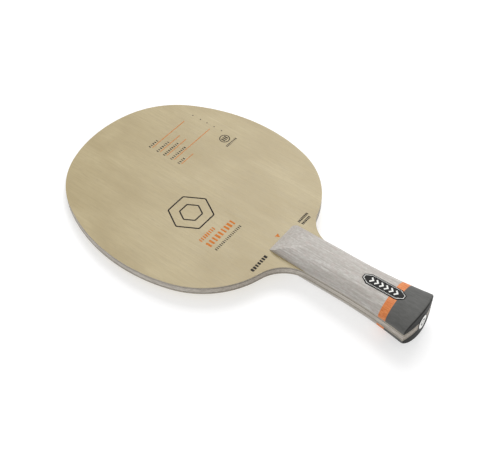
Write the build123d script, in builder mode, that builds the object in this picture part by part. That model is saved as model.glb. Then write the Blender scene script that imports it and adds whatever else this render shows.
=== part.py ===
"""Table tennis blade: seven glued plies shaped to one outline, with a flared two-sided handle.

The blade lies flat. +Y points from the butt to the tip, +Z is the normal of the front face,
and the origin is at the middle of the whole blade. All sizes are in millimetres.
"""
import os
from math import atan2, cos, degrees, radians, sin, sqrt

from build123d import *
from build123d.topology import SkipClean

# ---- driving dimensions -------------------------------------------------------------

# Head
head_length = 157.0  # tip to the front edge of the handle scales
head_width = 150.0
widest_from_tip = 90.0
shoulder_radius = 60.6  # arc between the tip arc and the side arc
tip_turn = 18.4  # half angle of the tip arc, degrees
shoulder_turn = 61.3  # angle from the tip where the shoulder arc ends, degrees
cheek_radius = 115.6  # arc just below the widest line
cheek_turn = 17.6  # angle that the cheek arc turns through, degrees

# Neck and handle outline
handle_length = 101.5  # butt to the front edge of the scales
neck_fillet = 24.0
neck_reach = 29.7  # the neck fillet ends this far behind the scales' front edge
handle_width = 26.6
butt_width = 33.6
butt_radius = 48.0  # the butt end is round in plan
flare_length = 49.5  # the handle widens over this length, up to the butt

# Plies, from the middle out
core_thickness = 3.4
carbon_thickness = 0.3
inner_thickness = 0.4
outer_thickness = 0.6

# Handle scales
scale_front_width = 24.8
scale_taper = 29.0  # length over which the scales narrow to their front edge
waist_crown = 8.0  # height of the scales above the plies, ahead of the flare
butt_crown = 9.4  # the same at the butt
waist_lip = 0.5  # straight part of the scales' side, ahead of the flare
butt_lip = 2.6  # the same at the butt
nose_length = 24.0  # length of the rounded slope at the front of the scales
section_step = 8.0  # spacing of the crown's sections in the flare
butt_block_length = 16.6
accent_band_width = 5.2
butt_edge_fillet = 1.5

# Badge set in the front of the handle
badge_length = 28.4
badge_width = 8.2
badge_tip_width = 3.0
badge_tip_length = 4.0
badge_from_butt = 27.6  # butt to the middle of the badge
badge_thickness = 0.7
badge_proud = 0.15  # the plate stands this far above the crown
adhesive_thickness = 0.15
badge_clearance = 0.1
adhesive_inset = 0.4

# Oval label on the butt end
butt_label_width = 9.0
butt_label_height = 13.0
butt_label_thickness = 0.2

# Construction
overrun = 2.0  # cutting and lofted shapes run this far past the faces that they shape

# ---- derived places -----------------------------------------------------------------

blade_length = head_length + handle_length
tip_y = blade_length / 2
butt_y = -blade_length / 2
widest_y = tip_y - widest_from_tip
scale_front_y = butt_y + handle_length
neck_end_y = scale_front_y - neck_reach
taper_end_y = scale_front_y - scale_taper
waist_y = butt_y + flare_length
block_front_y = butt_y + butt_block_length
band_front_y = block_front_y + accent_band_width
badge_y = butt_y + badge_from_butt

half_head = head_width / 2
half_handle = handle_width / 2
half_front = scale_front_width / 2
half_butt = butt_width / 2
butt_corner_y = butt_y + butt_radius - sqrt(butt_radius**2 - half_butt**2)

core_top = core_thickness / 2
carbon_top = core_top + carbon_thickness
inner_top = carbon_top + inner_thickness
ply_top = inner_top + outer_thickness


def radius_through(width, height):
    """Radius of an arc that starts square to width and ends width over and height along."""
    return (width**2 + height**2) / (2 * width)


# The flare and the taper are arcs that run on smoothly from the straight handle side.
flare_radius = radius_through(half_butt - half_handle, waist_y - butt_corner_y)
flare_turn = degrees(atan2(waist_y - butt_corner_y, flare_radius - half_butt + half_handle))
taper_radius = radius_through(half_handle - half_front, scale_taper)
taper_turn = degrees(atan2(scale_taper, taper_radius - half_handle + half_front))

# The tip and side radii follow from the head's size, so that the three arcs stay tangent.
tip_sin = sin(radians(tip_turn))
tip_cos = cos(radians(tip_turn))
shoulder_sin = sin(radians(shoulder_turn))
shoulder_cos = cos(radians(shoulder_turn))
across = half_head - shoulder_radius * (shoulder_sin - tip_sin)
along = widest_from_tip - shoulder_radius * (tip_cos - shoulder_cos)
divisor = tip_sin * shoulder_cos - (1 - shoulder_sin) * (1 - tip_cos)
tip_radius = (across * shoulder_cos - along * (1 - shoulder_sin)) / divisor
side_radius = (along * tip_sin - across * (1 - tip_cos)) / divisor
tip_centre = (0, tip_y - tip_radius)
shoulder_centre = (
    (tip_radius - shoulder_radius) * tip_sin,
    tip_centre[1] + (tip_radius - shoulder_radius) * tip_cos,
)
side_centre = (half_head - side_radius, widest_y)

# The jaw arc runs from the cheek arc to the neck fillet, tangent to both.
cheek_sin = sin(radians(cheek_turn))
cheek_cos = cos(radians(cheek_turn))
cheek_centre = (half_head - cheek_radius, widest_y)
cheek_end = (cheek_centre[0] + cheek_radius * cheek_cos, widest_y - cheek_radius * cheek_sin)
neck_centre = (half_handle + neck_fillet, neck_end_y)
over = cheek_end[0] - neck_centre[0]
up = cheek_end[1] - neck_centre[1]
jaw_radius = (over**2 + up**2 - neck_fillet**2) / (2 * (over * cheek_cos - up * cheek_sin + neck_fillet))
jaw_centre = (cheek_end[0] - jaw_radius * cheek_cos, cheek_end[1] + jaw_radius * cheek_sin)
jaw_end = degrees(atan2(neck_centre[1] - jaw_centre[1], neck_centre[0] - jaw_centre[0]))
neck_start = jaw_end + 180

# The crown rises in a straight line along the flare.
crown_slope = (butt_crown - waist_crown) / flare_length


def side_x(y):
    """Half width of the scales at y."""
    if y > taper_end_y:
        return half_handle - taper_radius + sqrt(taper_radius**2 - (y - taper_end_y) ** 2)
    if y < waist_y:
        return half_handle + flare_radius - sqrt(flare_radius**2 - (waist_y - y) ** 2)
    return half_handle


def crown_height(y):
    """Height of the scales above the plies at y."""
    return waist_crown + crown_slope * max(0, waist_y - y)


def lip_height(y):
    """Height of the straight part of the scales' side at y."""
    return waist_lip + (butt_lip - waist_lip) * max(0, waist_y - y) / flare_length


# ---- outlines -----------------------------------------------------------------------


def butt_and_flare():
    """Right half of the handle outline, from the middle of the butt to the end of the flare."""
    butt_turn = degrees(atan2(half_butt, butt_radius - butt_corner_y + butt_y))
    CenterArc((0, butt_y + butt_radius), butt_radius, 270, butt_turn)
    CenterArc((half_handle + flare_radius, waist_y), flare_radius, 180, flare_turn)


with BuildSketch() as blade_outline:
    with BuildLine():
        CenterArc(tip_centre, tip_radius, 90 - tip_turn, tip_turn)
        CenterArc(shoulder_centre, shoulder_radius, 90 - shoulder_turn, shoulder_turn - tip_turn)
        CenterArc(side_centre, side_radius, 0, 90 - shoulder_turn)
        CenterArc(cheek_centre, cheek_radius, -cheek_turn, cheek_turn)
        CenterArc(jaw_centre, jaw_radius, jaw_end, -cheek_turn - jaw_end)
        CenterArc(neck_centre, neck_fillet, neck_start, 180 - neck_start)
        Line((half_handle, neck_end_y), (half_handle, waist_y))
        butt_and_flare()
        mirror(about=Plane.YZ)
    make_face()

with BuildSketch() as scale_outline:
    with BuildLine():
        Line((0, scale_front_y), (half_front, scale_front_y))
        CenterArc((half_handle - taper_radius, taper_end_y), taper_radius, 0, taper_turn)
        Line((half_handle, taper_end_y), (half_handle, waist_y))
        butt_and_flare()
        mirror(about=Plane.YZ)
    make_face()

# ---- plies --------------------------------------------------------------------------

# The core is light wood, and every other ply is glued to it in pairs, front and back.
with BuildPart() as core_ply:
    with BuildSketch(Plane.XY.offset(-core_top)):
        add(blade_outline.sketch)
    extrude(amount=core_thickness)


def full_ply(base, thickness):
    """One ply of the whole outline, on the front side."""
    with BuildPart() as ply:
        with BuildSketch(Plane.XY.offset(base)):
            add(blade_outline.sketch)
        extrude(amount=thickness)
    return ply


# The outer ply's face is in two parts, bare wood on the head and a glued seat under the scale.
with BuildSketch() as bare_outline:
    add(blade_outline.sketch)
    add(scale_outline.sketch, mode=Mode.SUBTRACT)

with SkipClean():
    with BuildPart() as outer_ply:
        with BuildSketch(Plane.XY.offset(inner_top)):
            add(bare_outline.sketch)
        extrude(amount=outer_thickness, clean=False)
        with BuildSketch(Plane.XY.offset(inner_top)):
            add(scale_outline.sketch)
        extrude(amount=outer_thickness, clean=False)

# ---- handle scales ------------------------------------------------------------------

# The crown is lofted through half ellipses that run past its sides, and the scale's outline
# trims it, which leaves the short straight lip above the plies.


def crown_section(y):
    """Cross-section of the crown at y, reaching below the plies' face."""
    height = crown_height(y)
    reach = side_x(y) / sqrt(1 - (lip_height(y) / height) ** 2)
    with BuildSketch(Plane(origin=(0, y, ply_top), x_dir=(1, 0, 0), z_dir=(0, -1, 0))) as section:
        with BuildLine():
            EllipticalCenterArc((0, 0), reach, height, start_angle=0, arc_size=180)
            Polyline((-reach, 0), (-reach, -overrun), (reach, -overrun), (reach, 0))
        make_face()
    return section.sketch


section_count = round(flare_length / section_step)
stations = [scale_front_y + overrun, scale_front_y - scale_taper / 2, taper_end_y]
stations += [waist_y - flare_length * i / section_count for i in range(section_count)]
stations += [butt_y - overrun]
crown_sections = [crown_section(y) for y in stations]
nose_radius = radius_through(waist_crown, nose_length)
nose_turn = degrees(atan2(nose_length, nose_radius - waist_crown))

with BuildPart() as crown:
    loft(crown_sections)
    with BuildSketch(Plane.XY.offset(ply_top)):
        add(scale_outline.sketch)
    extrude(amount=2 * butt_crown, mode=Mode.INTERSECT)
    with BuildSketch(Plane.YZ):
        with BuildLine():
            nose = CenterArc(
                (scale_front_y - nose_length, ply_top + waist_crown - nose_radius),
                nose_radius,
                90 - nose_turn,
                nose_turn,
            )
            Polyline(
                nose @ 1,
                (scale_front_y - nose_length, ply_top + 2 * butt_crown),
                (scale_front_y + overrun, ply_top + 2 * butt_crown),
                (scale_front_y + overrun, ply_top),
                nose @ 0,
            )
        make_face()
    extrude(amount=handle_width, both=True, mode=Mode.SUBTRACT)

    butt_edge = crown.faces().sort_by(Axis.Y)[0].edges().sort_by(Axis.Z)[-1]
    fillet(butt_edge, butt_edge_fillet)

# ---- badge and its pocket -----------------------------------------------------------

# The badge follows the slope of the crown, and its top face is rounded like the crown.
badge_plane = Plane(
    origin=(0, badge_y, ply_top + crown_height(badge_y) + badge_proud),
    x_dir=(1, 0, 0),
    z_dir=(0, crown_slope, 1),
)
badge_curve = side_x(badge_y) ** 2 / crown_height(badge_y)

with BuildSketch() as badge_outline:
    with BuildLine():
        Polyline(
            (badge_tip_width / 2, badge_length / 2),
            (badge_width / 2, badge_length / 2 - badge_tip_length),
            (badge_width / 2, badge_tip_length - badge_length / 2),
            (badge_tip_width / 2, -badge_length / 2),
        )
        Line((0, badge_length / 2), (badge_tip_width / 2, badge_length / 2))
        Line((badge_tip_width / 2, -badge_length / 2), (0, -badge_length / 2))
        mirror(about=Plane.YZ)
    make_face()

with BuildPart() as badge_plate:
    with BuildSketch(badge_plane.offset(-badge_thickness)):
        add(badge_outline.sketch)
    extrude(amount=badge_thickness)
    with BuildSketch(Plane(origin=badge_plane.origin, x_dir=(1, 0, 0), z_dir=badge_plane.y_dir)):
        with Locations((0, badge_curve)):
            Circle(badge_curve)
    extrude(amount=badge_length, both=True, mode=Mode.INTERSECT)

with BuildPart() as badge_adhesive:
    with BuildSketch(badge_plane.offset(-badge_thickness - adhesive_thickness)):
        add(badge_outline.sketch)
        offset(amount=-adhesive_inset, kind=Kind.INTERSECTION)
    extrude(amount=adhesive_thickness)

with BuildPart() as front_crown:
    add(crown.part)
    with BuildSketch(badge_plane.offset(-badge_thickness - adhesive_thickness)):
        add(badge_outline.sketch)
        offset(amount=badge_clearance, kind=Kind.INTERSECTION)
    extrude(amount=2 * badge_thickness, mode=Mode.SUBTRACT)

# ---- the two sides of the handle ----------------------------------------------------


def keep_between(solid, back_y, front_y):
    """The stretch of a handle side from back_y to front_y."""
    with BuildPart() as piece:
        add(solid)
        split(bisect_by=Plane.XZ.offset(-back_y), keep=Keep.BOTTOM)
        split(bisect_by=Plane.XZ.offset(-front_y), keep=Keep.TOP)
    return piece.part


# Each side is a long grip scale, an accent band and a butt block, glued end to end.
stretches = {
    "grip_scale": (band_front_y, scale_front_y + overrun),
    "accent_band": (block_front_y, band_front_y),
    "butt_block": (butt_y - overrun, block_front_y),
}
pieces = {"core_ply": core_ply.part, "badge_plate": badge_plate.part, "badge_adhesive": badge_adhesive.part}
for name, (back_y, front_y) in stretches.items():
    pieces["front_" + name] = keep_between(front_crown.part, back_y, front_y)
    pieces["back_" + name] = mirror(keep_between(crown.part, back_y, front_y), about=Plane.XY)

plies = {
    "carbon_ply": full_ply(core_top, carbon_thickness).part,
    "inner_ply": full_ply(carbon_top, inner_thickness).part,
    "outer_ply": outer_ply.part,
}
for name, ply in plies.items():
    pieces["front_" + name] = ply
    pieces["back_" + name] = mirror(ply, about=Plane.XY)

# ---- butt label ---------------------------------------------------------------------

# A thin oval film stuck across the butt end, over the plies and both butt blocks.
with BuildPart() as butt_label:
    with BuildSketch(Plane.XZ.offset(-butt_y + butt_label_width)):
        Ellipse(butt_label_width / 2, butt_label_height / 2)
    extrude(amount=-2 * butt_label_width)
    with BuildSketch(Plane.XY.offset(-butt_label_height)):
        with Locations((0, butt_y + butt_radius)):
            Circle(butt_radius + butt_label_thickness)
            Circle(butt_radius, mode=Mode.SUBTRACT)
    extrude(amount=2 * butt_label_height, mode=Mode.INTERSECT)
pieces["butt_label"] = butt_label.part

# ---- files --------------------------------------------------------------------------

os.makedirs("parts", exist_ok=True)
for name, piece in pieces.items():
    piece.label = name
    export_step(piece, "parts/" + name + ".step")
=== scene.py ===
"""Looks of a bare table tennis blade: laminated head, flared handle, printed marks, badge and label."""
from itertools import count
from math import cos, radians, sin

import bmesh
import bpy
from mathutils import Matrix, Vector
from mathutils.bvhtree import BVHTree


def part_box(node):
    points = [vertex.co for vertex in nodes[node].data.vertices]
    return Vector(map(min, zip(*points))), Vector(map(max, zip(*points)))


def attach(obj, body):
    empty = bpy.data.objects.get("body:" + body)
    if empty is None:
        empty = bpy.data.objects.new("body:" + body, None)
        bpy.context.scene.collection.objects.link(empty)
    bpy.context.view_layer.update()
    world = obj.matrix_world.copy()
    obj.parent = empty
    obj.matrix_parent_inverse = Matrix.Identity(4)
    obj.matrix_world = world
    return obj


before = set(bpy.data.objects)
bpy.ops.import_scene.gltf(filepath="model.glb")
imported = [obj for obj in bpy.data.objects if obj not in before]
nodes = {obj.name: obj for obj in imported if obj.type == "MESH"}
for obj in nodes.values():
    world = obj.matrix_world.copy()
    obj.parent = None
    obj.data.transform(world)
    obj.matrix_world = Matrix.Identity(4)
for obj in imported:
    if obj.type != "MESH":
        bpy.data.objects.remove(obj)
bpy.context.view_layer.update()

# ---- Table, light and camera ---------------------------------------------------------
# A white studio table, lit a little from below, with a large soft box to the blade's right and a
# weak one behind its butt. The blade lies on the table front up and touches it at the tip and under
# the handle, so the table slopes a little in the blade's own frame.

MM = 0.001  # millimetres in Blender's metres


def linear(hex_colour):
    """Linear RGBA of an sRGB colour written as six hex digits."""
    parts = [int(hex_colour[i:i + 2], 16) / 255 for i in (0, 2, 4)]
    return [c / 12.92 if c <= 0.04045 else ((c + 0.055) / 1.055) ** 2.4 for c in parts] + [1.0]


def new_material(name):
    """An empty material and its tree."""
    material = bpy.data.materials.new(name)
    material.use_nodes = True
    material.node_tree.nodes.clear()
    return material, material.node_tree


def add(tree, kind, inputs=None, **settings):
    """Adds a node with its settings, its input values and its links, and returns it."""
    node = tree.nodes.new(kind)
    for name, value in settings.items():
        setattr(node, name, value)
    for name, value in (inputs or {}).items():
        if isinstance(value, bpy.types.NodeSocket):
            tree.links.new(value, node.inputs[name])
        else:
            node.inputs[name].default_value = value
    return node


def link_object(name, data):
    """A new object at the origin that holds data."""
    thing = bpy.data.objects.new(name, data)
    bpy.context.scene.collection.objects.link(thing)
    return thing


TABLE_HALF = 40.0  # metres, so that its edge is never in sight
back_ply_low, back_ply_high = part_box("back_outer_ply")
tip_y, tip_z = back_ply_high[1], back_ply_low[2]  # where the head touches the table
under_handle = [v.co for v in nodes["back_grip_scale"].data.vertices]
table_slope = max((tip_z - point.z) / (tip_y - point.y) for point in under_handle)
table_shape = bmesh.new()
for side, end in ((-1, -1), (1, -1), (1, 1), (-1, 1)):
    x, y = side * TABLE_HALF, end * TABLE_HALF
    table_shape.verts.new((x, y, tip_z - table_slope * (tip_y - y)))
table_shape.faces.new(table_shape.verts)
table_mesh = bpy.data.meshes.new("table")
table_shape.to_mesh(table_mesh)
table_shape.free()
table = link_object("table", table_mesh)

# Opal acrylic lit from below, matt: almost shadowless, and lightly clouded, so that it isn't one
# flat tone.
CLOUD_WIDTH = 1 / 6  # metres
TABLE_GLOW = 0.52
acrylic, tree = new_material("opal_backlit_acrylic")
where = add(tree, "ShaderNodeTexCoord").outputs["Object"]
noise = add(tree, "ShaderNodeTexNoise", {"Vector": where, "Scale": 1 / CLOUD_WIDTH, "Detail": 3.0})
cloud = noise.outputs["Fac"]
tones = {0: cloud, 6: linear("C4C4C4"), 7: linear("C8C8C8")}
tone = add(tree, "ShaderNodeMix", tones, data_type="RGBA").outputs[2]
matt = add(tree, "ShaderNodeMapRange", {"Value": cloud, "To Min": 0.8, "To Max": 0.95}).outputs[0]
surface = add(
    tree,
    "ShaderNodeBsdfPrincipled",
    {
        "Base Color": tone, "Roughness": matt,
        "Emission Color": linear("FFFFFF"), "Emission Strength": TABLE_GLOW,
    },
)
add(tree, "ShaderNodeOutputMaterial", {"Surface": surface.outputs[0]})
table_mesh.materials.append(acrylic)


def soft_box(name, place, size, power):
    """A square soft box at place, pointing at the blade's middle, in metres and watts."""
    data = bpy.data.lights.new(name, "AREA")
    data.size = size
    data.energy = power
    lamp = link_object(name, data)
    lamp.location = place
    lamp.rotation_euler = Vector(place).to_track_quat("Z", "Y").to_euler()


soft_box("right_soft_box", place=(0.85, 0.4, 1.25), size=1.0, power=16)
soft_box("butt_fill", place=(-0.6, -1.0, 0.8), size=0.8, power=3.0)

WALL_GLOW = 0.55
walls = bpy.data.worlds.new("studio_walls")
walls.use_nodes = True
background = walls.node_tree.nodes["Background"].inputs
background["Color"].default_value = linear("FFFFFF")
background["Strength"].default_value = WALL_GLOW
bpy.context.scene.world = walls
bpy.context.scene.view_settings.view_transform = "Standard"

VIEW_AZIMUTH = radians(-52.65)
VIEW_ELEVATION = radians(48.88)
VIEW_DISTANCE = 573.6 * MM
LENS, SENSOR_WIDTH = 65.1, 36.0  # mm
view_target = Vector((-1.5, -4.45, 0)) * MM
towards_camera = Vector((
    sin(VIEW_AZIMUTH) * cos(VIEW_ELEVATION),
    -cos(VIEW_AZIMUTH) * cos(VIEW_ELEVATION),
    sin(VIEW_ELEVATION),
))
camera_data = bpy.data.cameras.new("camera")
camera_data.lens = LENS
camera_data.sensor_width = SENSOR_WIDTH
camera = link_object("camera", camera_data)
camera.location = view_target + VIEW_DISTANCE * towards_camera
camera.rotation_euler = towards_camera.to_track_quat("Z", "Y").to_euler()
bpy.context.scene.camera = camera

# ---- Core ply ------------------------------------------------------------------------
# A 3.4 mm sheet of light, open-grained wood, cut to the blade's outline, with its grain along
# the handle. Only its sanded and sealed edge shows.

CUT_GRAIN_AND_SHADE_TINT = "DFDCD8"  # how much darker the plies are drawn where their edges face the tip or the butt: partly the darker end grain, partly painted shade
RUBBED = 0.07  # how far the roughness of a finish strays either way


def finish_node(name, material):
    """Gives a node that is already in place its real finish."""
    mesh = nodes[name].data
    mesh.materials.clear()
    mesh.materials.append(material)


def grain(tree, width, length, detail, low, high, roughness=0.5, wander=0.0):
    """Streaks along the handle, as a pattern from 0 to 1; width and length are of one streak, in mm.

    The noise from low to high is spread over the pattern, and low above high turns it over. More
    detail and roughness add finer streaks. A little wander makes them wavy, as where the log
    didn't grow quite straight.
    """
    where = add(tree, "ShaderNodeTexCoord").outputs["Object"]
    across, along = 1 / (width * MM), 1 / (length * MM)
    stretched = add(tree, "ShaderNodeMapping", {"Vector": where, "Scale": (across, along, across)})
    noise = add(
        tree,
        "ShaderNodeTexNoise",
        {
            "Vector": stretched.outputs[0], "Scale": 1.0, "Detail": detail,
            "Roughness": roughness, "Distortion": wander,
        },
    )
    spread = {"Value": noise.outputs["Fac"], "From Min": low, "From Max": high}
    return add(tree, "ShaderNodeMapRange", spread).outputs[0]


def stained(tree, ground, stains):
    """The ground colour with stains laid over it in turn, each a (pattern, colour, strength)."""
    colour = linear(ground)
    for pattern, stain, strength in stains:
        cover = add(tree, "ShaderNodeMath", {0: pattern, 1: strength}, operation="MULTIPLY").outputs[0]
        layers = {0: cover, 6: colour, 7: linear(stain)}
        colour = add(tree, "ShaderNodeMix", layers, data_type="RGBA").outputs[2]
    return colour


def facing(tree, axis, low, high):
    """A pattern from 0 to 1 as the surface turns square to an axis of the blade, at either end.

    It changes between two cosines of the angle to the axis, low and high.
    """
    normal = add(tree, "ShaderNodeNewGeometry").outputs["Normal"]
    part = add(tree, "ShaderNodeSeparateXYZ", {0: normal}).outputs[axis]
    square = add(tree, "ShaderNodeMath", {0: part}, operation="ABSOLUTE").outputs[0]
    spread = {"Value": square, "From Min": low, "From Max": high}
    return add(tree, "ShaderNodeMapRange", spread).outputs[0]


def end_grain_and_shade(tree, colour, tint):
    """Darkens a colour by tint where the surface faces the butt or the tip, where the wood is cut
    across its grain and end grain shows darker; on the plies the tint is also painted shade on those
    edges.
    """
    layers = {0: facing(tree, "Y", low=0.45, high=0.85), 6: colour, 7: linear(tint)}
    return add(tree, "ShaderNodeMix", layers, data_type="RGBA", blend_type="MULTIPLY").outputs[2]


def sealed_surface(tree, colour, relief, depth, roughness, gloss=0.5):
    """A thinly sealed surface in colour, with relief, a pattern from 0 to 1, as deep as depth in mm.

    The high parts of the relief are rubbed a little smoother than the low ones.
    """
    spread = {"Value": relief, "To Min": roughness + RUBBED, "To Max": roughness - RUBBED}
    rubbed = add(tree, "ShaderNodeMapRange", spread).outputs[0]
    heights = {"Height": relief, "Distance": depth * MM, "Strength": 1.0}
    bump = add(tree, "ShaderNodeBump", heights).outputs[0]
    surface = add(
        tree,
        "ShaderNodeBsdfPrincipled",
        {
            "Base Color": colour, "Roughness": rubbed,
            "IOR": 1.5, "Specular IOR Level": gloss, "Normal": bump,
        },
    )
    add(tree, "ShaderNodeOutputMaterial", {"Surface": surface.outputs[0]})


# Ayous, sawn and sanded: pale grey-brown streaks about 1 mm wide, with coarse open pores.
ayous, tree = new_material("ayous_core")
streaks = grain(tree, 1.0, 40, 5, 0.35, 0.65)
pores = grain(tree, 0.4, 5, 2, 0.62, 0.74)
colour = stained(tree, "A39B91", [(streaks, "BFB8AE", 1.0), (pores, "7A7165", 1.0)])
# The edges facing the tip and the butt are drawn darker: part end grain, part painted shade.
sealed_surface(tree, end_grain_and_shade(tree, colour, CUT_GRAIN_AND_SHADE_TINT), streaks, depth=0.03, roughness=0.6)
finish_node("core_ply", ayous)

# ---- Carbon plies --------------------------------------------------------------------
# A thin woven carbon sheet is glued on each side of the core. Its cut edge is a dark line all
# round the blade.

TOW = 2.0  # width of one woven band of fibres, mm

# Carbon cloth in clear resin: near-black squares where the bands cross, satin where sanded.
carbon, tree = new_material("woven_carbon_in_resin")
where = add(tree, "ShaderNodeTexCoord").outputs["Object"]
weave = add(tree, "ShaderNodeTexChecker", {"Vector": where, "Scale": 1 / (TOW * MM)}).outputs["Fac"]
fibres = grain(tree, 0.5, 6, 3, 0.3, 0.7)
colour = stained(tree, "12100F", [(weave, "1C1917", 1.0), (fibres, "2B2723", 1.0)])
sealed_surface(tree, colour, fibres, depth=0.01, roughness=0.6, gloss=0.15)
finish_node("front_carbon_ply", carbon)
finish_node("back_carbon_ply", carbon)

# ---- Inner plies ---------------------------------------------------------------------
# A 0.4 mm veneer lies over the carbon on each side, with its grain along the handle. It shows
# only as a thin pale line in the edge.

# Spruce veneer, sliced: fine even lines, a little warmer than the core.
spruce, tree = new_material("spruce_inner_veneer")
lines = grain(tree, 0.7, 60, 3, 0.35, 0.65)
colour = stained(tree, "A0978B", [(lines, "BCB4A8", 1.0)])
# The edges facing the tip and the butt are drawn darker: part end grain, part painted shade.
sealed_surface(tree, end_grain_and_shade(tree, colour, CUT_GRAIN_AND_SHADE_TINT), lines, depth=0.02, roughness=0.55)
finish_node("front_inner_ply", spruce)
finish_node("back_inner_ply", spruce)

# ---- Outer plies ---------------------------------------------------------------------
# A 0.6 mm face veneer closes each side. Its broad face is the playing side, sanded smooth and
# sealed, and its cut edge is as grey as the plies below it.

# Koto veneer, sliced and sanded: beige, with faint broad bands and clouds, wavy streaks and long
# fine lines along the handle, and short pores. The lines and pores are drawn 0.4 mm wide, so that
# they still show.
koto, tree = new_material("koto_face_veneer")
clouds = grain(tree, 26, 48, 3, 0.34, 0.66, wander=0.6)
bands = grain(tree, 5, 70, 4, 0.7, 0.3, roughness=0.55, wander=0.8)
streaks = grain(tree, 1.0, 14, 5, 0.7, 0.3, roughness=0.6, wander=0.5)
lines = grain(tree, 0.4, 30, 4, 0.5, 0.75, roughness=0.6, wander=0.3)
pores = grain(tree, 0.4, 4, 3, 0.58, 0.75)
stains = [
    (clouds, "BAAB84", 1.0), (bands, "A39269", 0.45), (streaks, "9A8A62", 0.52),
    (lines, "8F7F5A", 0.3), (pores, "8C7C5E", 0.4),
]
face = stained(tree, "A8976F", stains)
# The cut edge is drawn darker where it faces the tip and the butt: part end grain, part painted shade.
edge = end_grain_and_shade(tree, stained(tree, "A1998A", [(streaks, "878070", 1.0)]), CUT_GRAIN_AND_SHADE_TINT)
layers = {0: facing(tree, "Z", low=0.4, high=0.6), 6: edge, 7: face}
colour = add(tree, "ShaderNodeMix", layers, data_type="RGBA").outputs[2]
sealed_surface(tree, colour, streaks, depth=0.015, roughness=0.42)
finish_node("front_outer_ply", koto)
finish_node("back_outer_ply", koto)

# ---- Grip scales ---------------------------------------------------------------------
# Two rounded pieces of grey-dyed wood are glued to the plies and shaped with them. Each slopes
# down to the head in a nose, and widens in a flare towards the butt.

# Dyed ash, sanded: light grey, with soft paler bands and short dark streaks along the handle. The
# dye took unevenly, so that the fibres are mottled from pinkish to greenish grey.
dyed_ash, tree = new_material("grey_dyed_ash")
bands = grain(tree, 4, 45, 3, 0.3, 0.7, wander=0.5)
pinkish = grain(tree, 2.2, 4, 3, 0.5, 0.72, roughness=0.6)
greenish = grain(tree, 2.2, 4, 3, 0.5, 0.28, roughness=0.6)
streaks = grain(tree, 0.8, 14, 5, 0.7, 0.3, roughness=0.65, wander=0.4)
mottle = grain(tree, 0.8, 2.0, 3, 0.65, 0.35, roughness=0.65)
stains = [
    (bands, "E2E0DC", 1.0), (pinkish, "CCBBB3", 0.5), (greenish, "C2C5B8", 0.5),
    (streaks, "8A827A", 0.68), (mottle, "A0978F", 0.48),
]
colour = stained(tree, "C8C5C0", stains)
sealed_surface(tree, colour, mottle, depth=0.05, roughness=0.6, gloss=0.35)
finish_node("front_grip_scale", dyed_ash)
finish_node("back_grip_scale", dyed_ash)

# ---- Accent bands --------------------------------------------------------------------
# A 5 mm band of orange-dyed wood is glued in behind each grip scale and shaped with it. It runs
# over the crown of the handle from one side to the other.

# Dyed maple, sanded: strong orange that soaked in unevenly, so that fine darker flecks show.
orange_maple, tree = new_material("orange_dyed_maple")
flecks = grain(tree, 0.7, 2.5, 4, 0.35, 0.7, roughness=0.6)
colour = stained(tree, "C96C33", [(flecks, "E69254", 1.0)])
sealed_surface(tree, colour, flecks, depth=0.02, roughness=0.55)
finish_node("front_accent_band", orange_maple)
finish_node("back_accent_band", orange_maple)

# ---- Butt blocks ---------------------------------------------------------------------
# The end of the handle is a block of dark wood on each side, shaped with the grip scales and cut
# to the same slight curve as the plies.

# Black-dyed ash, sanded: dark neutral grey with faint paler fibres.
dark_ash, tree = new_material("black_dyed_ash")
fibres = grain(tree, 1.4, 5, 5, 0.2, 0.8, roughness=0.6, wander=0.5)
colour = end_grain_and_shade(tree, stained(tree, "555553", [(fibres, "686866", 1.0)]), "4A4B48")
sealed_surface(tree, colour, fibres, depth=0.02, roughness=0.55, gloss=0.15)
finish_node("front_butt_block", dark_ash)
finish_node("back_butt_block", dark_ash)

# ---- Printing on the head ------------------------------------------------------------
# Marks are pad-printed on the front veneer in dark and orange ink. They are plain shapes: rows
# of small blocks, a chart of five lines, a six-sided outline, a ring and an arrowhead.

INK = 0.03  # how far the ink stands above the surface, mm
INK_ROOT = 0.01  # how far each mark reaches below the surface, mm
LEVELS = (0.5, -0.5)  # top and bottom of a flat shape, before it is laid on the surface


def ink(name, pale, dark, roughness):
    """Pad-printing ink, a little uneven where it lies thinner over the grain."""
    material, tree = new_material(name)
    thin = grain(tree, 0.5, 2.0, 3, 0.3, 0.75)
    colour = stained(tree, dark, [(thin, pale, 1.0)])
    sealed_surface(tree, colour, thin, depth=0.005, roughness=roughness, gloss=0.15)
    return material


dark_ink = ink("dark_printing_ink", pale="2E2823", dark="1A1714", roughness=0.6)
orange_ink = ink("orange_printing_ink", pale="CF7C35", dark="BC6A22", roughness=0.6)


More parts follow.
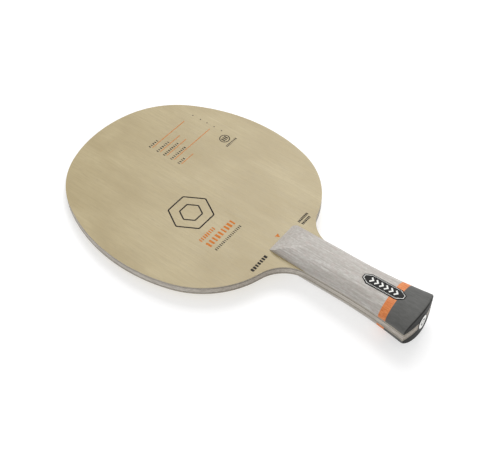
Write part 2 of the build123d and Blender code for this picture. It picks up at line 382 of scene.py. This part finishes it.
def row_tree():
    """Nodes that set out a row of upright blocks along X, each a little different in width."""
    tree = bpy.data.node_groups.new("row_of_blocks", "GeometryNodeTree")
    sockets = {}
    for name, kind in (
        ("Count", "NodeSocketInt"),
        ("Pitch", "NodeSocketFloat"),
        ("Block Width", "NodeSocketFloat"),
        ("Block Height", "NodeSocketFloat"),
        ("Block Depth", "NodeSocketFloat"),
        ("Slant", "NodeSocketFloat"),
        ("Least Width", "NodeSocketFloat"),
        ("Seed", "NodeSocketInt"),
        ("Material", "NodeSocketMaterial"),
    ):
        sockets[name] = tree.interface.new_socket(name, in_out="INPUT", socket_type=kind).identifier
    tree.interface.new_socket("Geometry", in_out="OUTPUT", socket_type="NodeSocketGeometry")
    given = add(tree, "NodeGroupInput").outputs

    step = add(tree, "ShaderNodeCombineXYZ", {"X": given["Pitch"]}).outputs[0]
    places = {"Count": given["Count"], "Offset": step}
    line = add(tree, "GeometryNodeMeshLine", places, mode="OFFSET").outputs["Mesh"]

    sides = {"X": given["Block Width"], "Y": given["Block Height"], "Z": given["Block Depth"]}
    size = add(tree, "ShaderNodeCombineXYZ", sides).outputs[0]
    block = add(tree, "GeometryNodeMeshCube", {"Size": size}).outputs["Mesh"]
    corner = add(tree, "GeometryNodeInputPosition").outputs[0]
    height = add(tree, "ShaderNodeSeparateXYZ", {0: corner}).outputs["Y"]
    lean = add(tree, "ShaderNodeMath", {0: height, 1: given["Slant"]}, operation="MULTIPLY").outputs[0]
    shift = add(tree, "ShaderNodeCombineXYZ", {"X": lean}).outputs[0]
    block = add(tree, "GeometryNodeSetPosition", {"Geometry": block, "Offset": shift}).outputs[0]

    shares = {2: given["Least Width"], 3: 1.0, "Seed": given["Seed"]}
    share = add(tree, "FunctionNodeRandomValue", shares).outputs[1]
    scale = add(tree, "ShaderNodeCombineXYZ", {"X": share, "Y": 1.0, "Z": 1.0}).outputs[0]
    placed = {"Points": line, "Instance": block, "Scale": scale}
    row = add(tree, "GeometryNodeInstanceOnPoints", placed).outputs[0]
    row = add(tree, "GeometryNodeRealizeInstances", {0: row}).outputs[0]
    inked = {"Geometry": row, "Material": given["Material"]}
    row = add(tree, "GeometryNodeSetMaterial", inked).outputs[0]
    add(tree, "NodeGroupOutput", {0: row})
    return tree, sockets


row_nodes, row_sockets = row_tree()
row_seeds = count(12)  # each row takes the next one, so that no two rows look alike


def block_row(shape, start, end, height, blocks, material, slant=0.0, filled=0.72, least=0.55):
    """Adds to shape a flat row of blocks from start to end, both (x, y) in mm.

    A block's width is up to the filled share of its place, and at least the least share of that.
    It leans by slant, in mm along the row for each mm of height.
    """
    run = Vector(end) - Vector(start)
    pitch = run.length / blocks
    carrier = link_object("row_carrier", bpy.data.meshes.new("row_carrier"))
    row = carrier.modifiers.new("row", "NODES")
    row.node_group = row_nodes
    settings = {
        "Count": blocks, "Pitch": pitch, "Block Width": pitch * filled, "Block Height": height,
        "Block Depth": LEVELS[0] - LEVELS[1], "Slant": slant, "Least Width": least,
        "Seed": next(row_seeds), "Material": material,
    }
    for name, value in settings.items():
        row[row_sockets[name]] = value
    evaluated = carrier.evaluated_get(bpy.context.evaluated_depsgraph_get())
    mesh = bpy.data.meshes.new_from_object(evaluated)
    bpy.data.objects.remove(carrier)
    along = run.normalized()
    over = Vector((-along.y, along.x))
    for vertex in mesh.vertices:
        place = Vector(start) + along * (vertex.co.x + pitch / 2) + over * vertex.co.y
        vertex.co = (place.x, place.y, vertex.co.z)
    shape.from_mesh(mesh)
    bpy.data.meshes.remove(mesh)


def ink_line(shape, path, width, closed=False):
    """Adds to shape a flat line of ink along path, a list of (x, y) in mm, mitred at its corners."""
    path = [Vector(point) for point in path]
    last = len(path) - 1
    rings = []
    for i, point in enumerate(path):
        before = path[i - 1] if i or closed else None
        after = path[(i + 1) % len(path)] if i < last or closed else None
        into = (point - before).normalized() if before is not None else (after - point).normalized()
        out = (after - point).normalized() if after is not None else into
        mitre = Vector((-into.y - out.y, into.x + out.x)).normalized()
        reach = width / 2 / mitre.dot(Vector((-into.y, into.x)))
        corners = [point + reach * mitre, point - reach * mitre]
        rings.append([shape.verts.new((c.x, c.y, level)) for level in LEVELS for c in corners])
    for i in range(len(path) if closed else last):
        a, b = rings[i], rings[(i + 1) % len(path)]
        for p, q in ((0, 1), (1, 3), (3, 2), (2, 0)):
            shape.faces.new((a[p], a[q], b[q], b[p]))
    if not closed:
        for ring in (rings[0], rings[-1]):
            shape.faces.new((ring[0], ring[1], ring[3], ring[2]))


def arc(centre, radius, start, turn, steps):
    """Points on an arc, with angles in degrees."""
    angles = [radians(start + turn * i / steps) for i in range(steps + 1)]
    return [(centre[0] + radius * cos(a), centre[1] + radius * sin(a)) for a in angles]


def print_on(name, shape, node, start, material):
    """Lays a flat shape drawn in mm on the front of a node, as a thin layer of ink.

    The shape's own zero is on the blade's centre line, at start along the handle in metres.
    """
    under = nodes[node].data
    below = BVHTree.FromPolygons([v.co for v in under.vertices], [p.vertices for p in under.polygons])
    for vertex in shape.verts:
        above = Vector((vertex.co.x * MM, start + vertex.co.y * MM, 1.0))
        place, normal, _, _ = below.ray_cast(above, Vector((0, 0, -1)))
        vertex.co = place + normal * (INK if vertex.co.z > 0 else -INK_ROOT) * MM
    bmesh.ops.recalc_face_normals(shape, faces=shape.faces)
    mesh = bpy.data.meshes.new(name)
    shape.to_mesh(mesh)
    shape.free()
    mesh.materials.clear()  # turns the faces of the block rows back to the first material
    mesh.materials.append(material)
    piece = link_object(name, mesh)
    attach(piece, "root")


def print_on_head(name, shape, material):
    """Prints a shape on the front veneer; its zero is at the front edge of the grip scale."""
    print_on(name, shape, "front_outer_ply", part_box("front_grip_scale")[1][1], material)


# The chart: five lines of different lengths, each with a row of small blocks above it and a
# small square out to the right.
CHART_LEFT = 10.3
CHART_LINE = 0.5  # width of a line
LINE_INDENT = 1.5  # from the start of a row of blocks to the start of its line
LABEL_RISE = 1.9  # from a line up to the middle of its row of blocks
LABEL_HEIGHT = 1.7
SQUARE_LEFT, SQUARE_SIDE = 53.1, 0.8
SQUARE_DROP = 1.0  # from a line down to the middle of its square
chart_lines = bmesh.new()
chart_rows = bmesh.new()
for line_y, line_end, row_end, blocks in (
    (116.9, 45.4, 19.5, 5),
    (110.0, 32.2, 23.0, 7),
    (104.1, 32.2, 26.0, 9),
    (97.7, 49.9, 26.0, 9),
    (91.1, 24.0, 17.5, 4),
):
    ink_line(chart_lines, [(CHART_LEFT + LINE_INDENT, line_y), (line_end, line_y)], CHART_LINE)
    row_y = line_y + LABEL_RISE
    block_row(
        chart_rows, (CHART_LEFT, row_y), (row_end, row_y), LABEL_HEIGHT, blocks, dark_ink, filled=0.5,
    )
    square_y = line_y - SQUARE_DROP
    square = [(SQUARE_LEFT, square_y), (SQUARE_LEFT + SQUARE_SIDE, square_y)]
    ink_line(chart_rows, square, SQUARE_SIDE)
print_on_head("chart_lines", chart_lines, orange_ink)
print_on_head("chart_labels", chart_rows, dark_ink)

# The stamp: a ring with upright bars in it, over a short row.
STAMP_X, STAMP_Y = 48.5, 83.4
RING_RADIUS, RING_LINE, RING_SIDES = 3.4, 0.6, 24
BAR_STEP, BAR_HALF, BAR_LINE = 1.6, 1.7, 0.85  # spacing, half the length, and width
STAMP_ROW_HALF, STAMP_ROW_DROP, STAMP_ROW_HEIGHT = 5.5, 5.9, 1.6
stamp = bmesh.new()
ring_turn = 360 - 360 / RING_SIDES
ring = arc((STAMP_X, STAMP_Y), RING_RADIUS, 0, ring_turn, RING_SIDES - 1)
ink_line(stamp, ring, RING_LINE, closed=True)
for i in (-1, 0, 1):
    x = STAMP_X + i * BAR_STEP
    ink_line(stamp, [(x, STAMP_Y - BAR_HALF), (x, STAMP_Y + BAR_HALF)], BAR_LINE)
row_y = STAMP_Y - STAMP_ROW_DROP
row_start, row_end = (STAMP_X - STAMP_ROW_HALF, row_y), (STAMP_X + STAMP_ROW_HALF, row_y)
block_row(stamp, row_start, row_end, STAMP_ROW_HEIGHT, 8, dark_ink)
print_on_head("stamp", stamp, dark_ink)

# The emblem: one six-sided outline with rounded corners inside another.
EMBLEM_X, EMBLEM_Y = -17.9, 58.1
EMBLEM_LINE = 0.95
SIXTH = 60  # a sixth of a turn, degrees
emblem = bmesh.new()
for corner_reach, corner_radius in ((14.8, 1.4), (7.4, 1.0)):
    arc_reach = corner_reach - corner_radius / cos(radians(SIXTH / 2))
    outline = []
    for i in range(6):
        turn = radians(SIXTH * i)
        middle = (EMBLEM_X + arc_reach * cos(turn), EMBLEM_Y + arc_reach * sin(turn))
        outline += arc(middle, corner_radius, SIXTH * i - SIXTH / 2, SIXTH, 4)
    ink_line(emblem, outline, EMBLEM_LINE, closed=True)
print_on_head("emblem", emblem, dark_ink)

# Under the emblem: a small and a large row in orange, then a fine row in dark ink.
title = bmesh.new()
block_row(title, (-33.3, 38.2), (-18.9, 38.2), 2.7, 8, orange_ink, slant=0.15)
block_row(title, (-33.4, 32.0), (-7.1, 32.0), 4.3, 9, orange_ink, filled=0.7)
print_on_head("title_rows", title, orange_ink)
subtitle = bmesh.new()
block_row(subtitle, (-32.9, 26.1), (-7.4, 26.1), 1.9, 17, dark_ink, filled=0.5)
print_on_head("subtitle_row", subtitle, dark_ink)

# On the neck, beside the grip scale: one bold row on the left and two fine rows on the right. An
# orange arrowhead stands in front of the scale.
neck = bmesh.new()
block_row(neck, (-32.5, -1.5), (-17.3, -1.5), 2.4, 7, dark_ink, filled=0.8, least=0.7)
block_row(neck, (16.8, -1.2), (26.8, -1.2), 1.8, 8, dark_ink, filled=0.75, least=0.7)
block_row(neck, (16.8, -4.0), (25.4, -4.0), 1.8, 7, dark_ink, filled=0.75, least=0.7)
print_on_head("neck_rows", neck, dark_ink)
arrow = bmesh.new()
corners = [(-1.8, 3.6), (1.4, 3.6), (-0.2, 0.9)]
top, bottom = [[arrow.verts.new((x, y, level)) for x, y in corners] for level in LEVELS]
arrow.faces.new(top)
arrow.faces.new(bottom)
for i in range(len(corners)):
    j = (i + 1) % len(corners)
    arrow.faces.new((top[i], top[j], bottom[j], bottom[i]))
print_on_head("arrowhead", arrow, orange_ink)

# ---- Badge ---------------------------------------------------------------------------
# A black plastic plate is stuck with adhesive film into a pocket in the front of the handle. White
# printing on it follows the edge and fills the middle with plain chevrons.

# Clear acrylic adhesive film, slightly milky, with tiny trapped bubbles.
film, tree = new_material("acrylic_adhesive_film")
bubbles = grain(tree, 0.4, 0.4, 2, 0.62, 0.7)
colour = stained(tree, "B9B7B0", [(bubbles, "D6D4CE", 1.0)])
sealed_surface(tree, colour, bubbles, depth=0.01, roughness=0.35)
finish_node("badge_adhesive", film)

# ABS, moulded: near-black, with the fine grain of a textured mould.
abs_black, tree = new_material("black_moulded_abs")
mould = grain(tree, 0.35, 0.35, 3, 0.3, 0.7)
colour = stained(tree, "121211", [(mould, "1B1B1A", 1.0)])
sealed_surface(tree, colour, mould, depth=0.01, roughness=0.5, gloss=0.15)
finish_node("badge_plate", abs_black)

white_ink = ink("white_printing_ink", pale="F4F4F0", dark="E6E6E1", roughness=0.45)
plate_low, plate_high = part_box("badge_plate")
plate_middle = (plate_low[1] + plate_high[1]) / 2
half_width = plate_high[0] / MM
half_length = (plate_high[1] - plate_low[1]) / 2 / MM
TIP_LENGTH = 4.0  # the plate narrows over this length at each end
TIP_HALF = 1.5  # half its width at the tip
EDGE_GAP = 0.8  # from the plate's edge to the middle of the printed line
EDGE_LINE = 0.36  # width of the line round each tip
DASH_HEIGHT, DASHES = 0.5, 24  # the slanting dashes along each side

edge_print = bmesh.new()
side_x = half_width - EDGE_GAP
shoulder_y = half_length - TIP_LENGTH - EDGE_GAP / 2
for end in (1, -1):
    line = [(-side_x, shoulder_y), (-TIP_HALF + EDGE_GAP / 2, half_length - EDGE_GAP)]
    line += [(-x, y) for x, y in reversed(line)]
    ink_line(edge_print, [(x, end * y) for x, y in line], EDGE_LINE)
for side in (-1, 1):
    x = side * side_x
    block_row(
        edge_print, (x, -shoulder_y), (x, shoulder_y), DASH_HEIGHT, DASHES, white_ink,
        slant=0.5, filled=0.45, least=1.0,
    )
print_on("badge_edge_print", edge_print, "badge_plate", plate_middle, white_ink)

CHEVRONS = 6
CHEVRON_STEP = 3.3
CHEVRON_HALF = 1.7  # half its width
CHEVRON_RISE = 0.8  # from its middle to its point, and to its ends
CHEVRON_LINE = 0.95
chevrons = bmesh.new()
for i in range(CHEVRONS):
    y = (i - (CHEVRONS - 1) / 2) * CHEVRON_STEP
    back_y, point_y = y + CHEVRON_RISE, y - CHEVRON_RISE
    ink_line(chevrons, [(-CHEVRON_HALF, back_y), (0, point_y), (CHEVRON_HALF, back_y)], CHEVRON_LINE)
print_on("badge_chevrons", chevrons, "badge_plate", plate_middle, white_ink)

# ---- Butt label ----------------------------------------------------------------------
# A thin oval film is stuck over the end of the handle, across the plies and both butt blocks. It
# is white, with a black rim and a small black oval ring in the middle.

# White vinyl, printed and laminated: smooth, satin and faintly cloudy. The printing is drawn by
# how far across the oval a point is, from 0 in the middle to 1 at the edge.
label_low, label_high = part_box("butt_label")
label_scale = (1 / label_high[0], 0, 2 / (label_high[2] - label_low[2]))
RIM_START, RIM_FULL = 0.82, 0.86  # how far across the black of the rim starts, and is full
RING_REACH, RING_HALF = 0.36, 0.09  # how far across the ring's line is, and half its width
vinyl, tree = new_material("printed_white_vinyl")
where = add(tree, "ShaderNodeTexCoord").outputs["Object"]
oval = add(tree, "ShaderNodeMapping", {"Vector": where, "Scale": label_scale}).outputs[0]
reach = add(tree, "ShaderNodeVectorMath", {0: oval}, operation="LENGTH").outputs["Value"]
rim_spread = {"Value": reach, "From Min": RIM_START, "From Max": RIM_FULL}
rim = add(tree, "ShaderNodeMapRange", rim_spread).outputs[0]
ring_band = {0: reach, 1: RING_REACH, 2: RING_HALF}
ring = add(tree, "ShaderNodeMath", ring_band, operation="COMPARE").outputs[0]
printed = add(tree, "ShaderNodeMath", {0: rim, 1: ring}, operation="MAXIMUM").outputs[0]
haze = grain(tree, 1.5, 1.5, 4, 0.3, 0.8)
colour = stained(tree, "E9E9E5", [(haze, "F4F4F1", 1.0), (printed, "161616", 1.0)])
sealed_surface(tree, colour, haze, depth=0.005, roughness=0.4, gloss=0.2)
finish_node("butt_label", vinyl)
